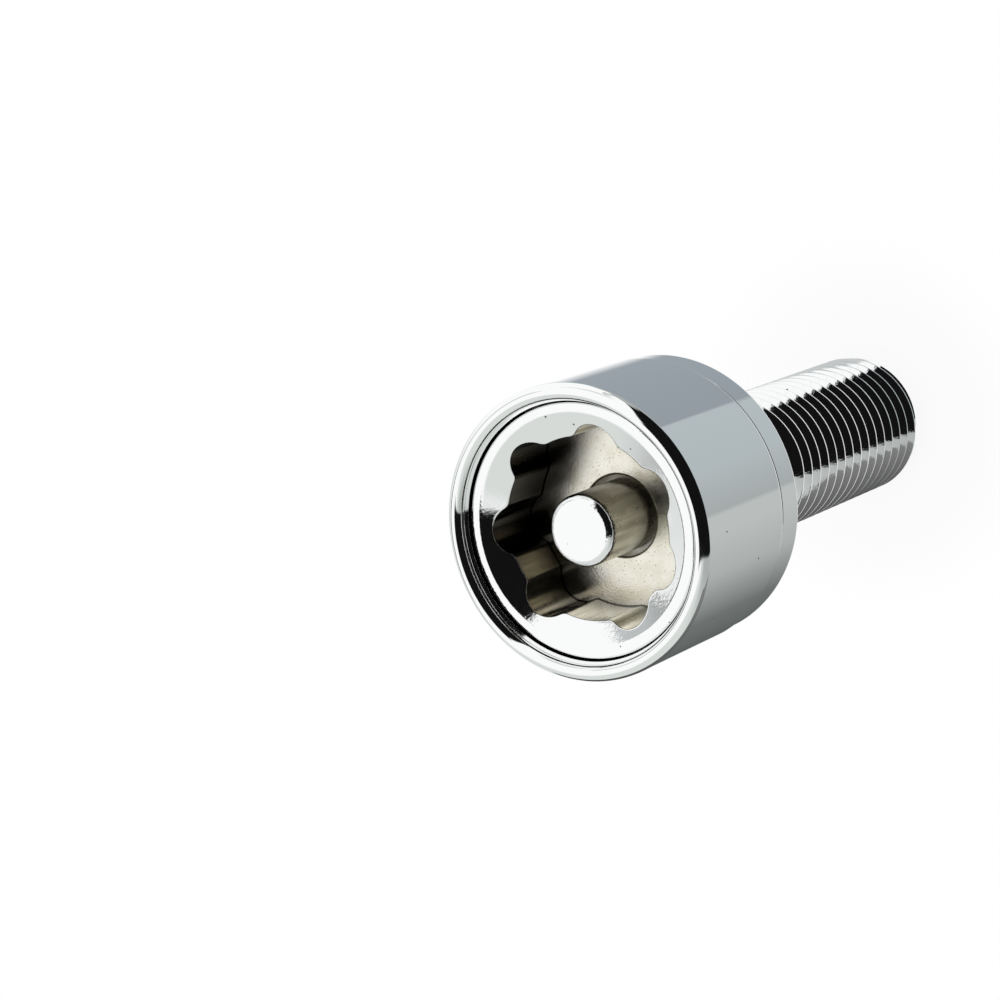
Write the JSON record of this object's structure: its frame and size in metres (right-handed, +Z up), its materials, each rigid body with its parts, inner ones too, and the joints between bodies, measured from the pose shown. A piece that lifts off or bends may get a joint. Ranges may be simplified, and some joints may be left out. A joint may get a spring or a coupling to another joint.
{
  "type": "locking wheel bolt",
  "caption": "Wheel bolt with a threaded shank, a tapered seat, a flange and a round head under a free-spinning collar, with a lobed key socket around a centre pin in its dished face.",
  "frame": {"origin": "middle of the flat thread end, where the bolt stands", "axes": "+Z runs up the bolt's axis from the thread end to the head; +X points through the middle of one lobe of the key socket"},
  "size_m": [0.0232, 0.0232, 0.0489],
  "materials": {
    "plated_body": "bright plated outside, satin and warmer inside the socket",
    "plated_collar": "bright plated, polished",
    "spring_wire": "oiled spring wire"
  },
  "bodies": {
    "bolt": {"bolt_body": "plated_body"},
    "collar": {"spinning_collar": "plated_collar", "retaining_ring": "spring_wire"}
  },
  "joints": [
    {"name": "collar_spin", "type": "hinge", "parent": "bolt", "child": "collar", "pos_m": [0, 0, 0.04269], "axis": [0, 0, 1], "continuous": true}
  ]
}
